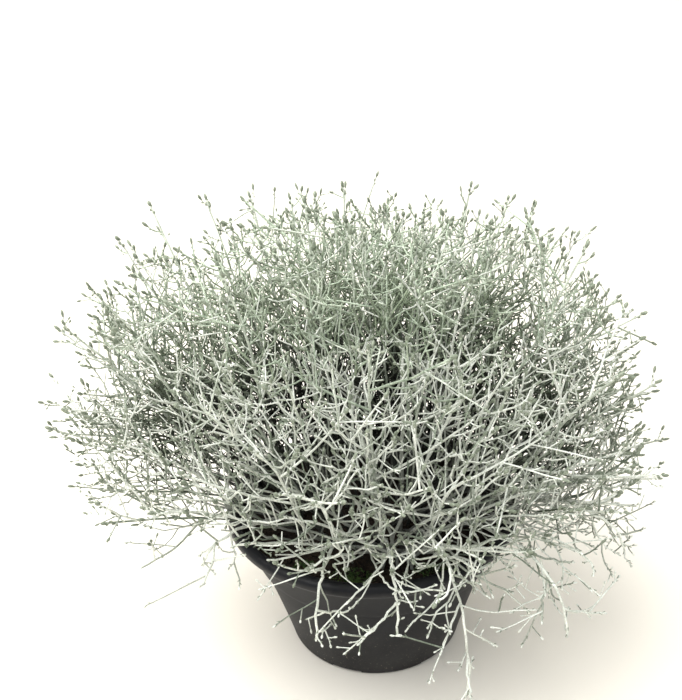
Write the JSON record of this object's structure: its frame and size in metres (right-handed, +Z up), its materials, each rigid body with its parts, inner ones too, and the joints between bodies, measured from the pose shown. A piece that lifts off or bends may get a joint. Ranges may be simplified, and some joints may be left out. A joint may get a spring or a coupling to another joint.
{
  "type": "potted cushion bush",
  "caption": "Wiry silver-grey cushion bush with fine branched stems and small buds, growing in a round black nursery bowl filled with soil.",
  "frame": {"origin": "middle of the flat underside of the pot's foot, on the surface it stands on", "axes": "+Z up along the pot's axis, -Y towards the front of the plant, +X to the front's right"},
  "size_m": [0.4471, 0.3665, 0.3562],
  "materials": {
    "pot_plastic": "moulded black plastic, semi-gloss lip and matte wall with dust low down",
    "soil": "matte moist peat with bits of bark and moss",
    "stem": "matte silver-white felt over grey-green living stems"
  },
  "bodies": {
    "root": {"pot": "pot_plastic", "soil": "soil", "stem_01": "stem", "stem_02": "stem", "stem_03": "stem", "stem_04": "stem", "stem_05": "stem", "stem_06": "stem", "stem_07": "stem", "stem_08": "stem", "stem_09": "stem", "stem_10": "stem", "stem_11": "stem", "stem_12": "stem", "stem_13": "stem", "stem_14": "stem", "stem_15": "stem", "stem_16": "stem", "stem_17": "stem", "stem_18": "stem", "stem_19": "stem", "stem_20": "stem", "stem_21": "stem", "stem_22": "stem", "stem_23": "stem", "stem_24": "stem"}
  },
  "joints": []
}
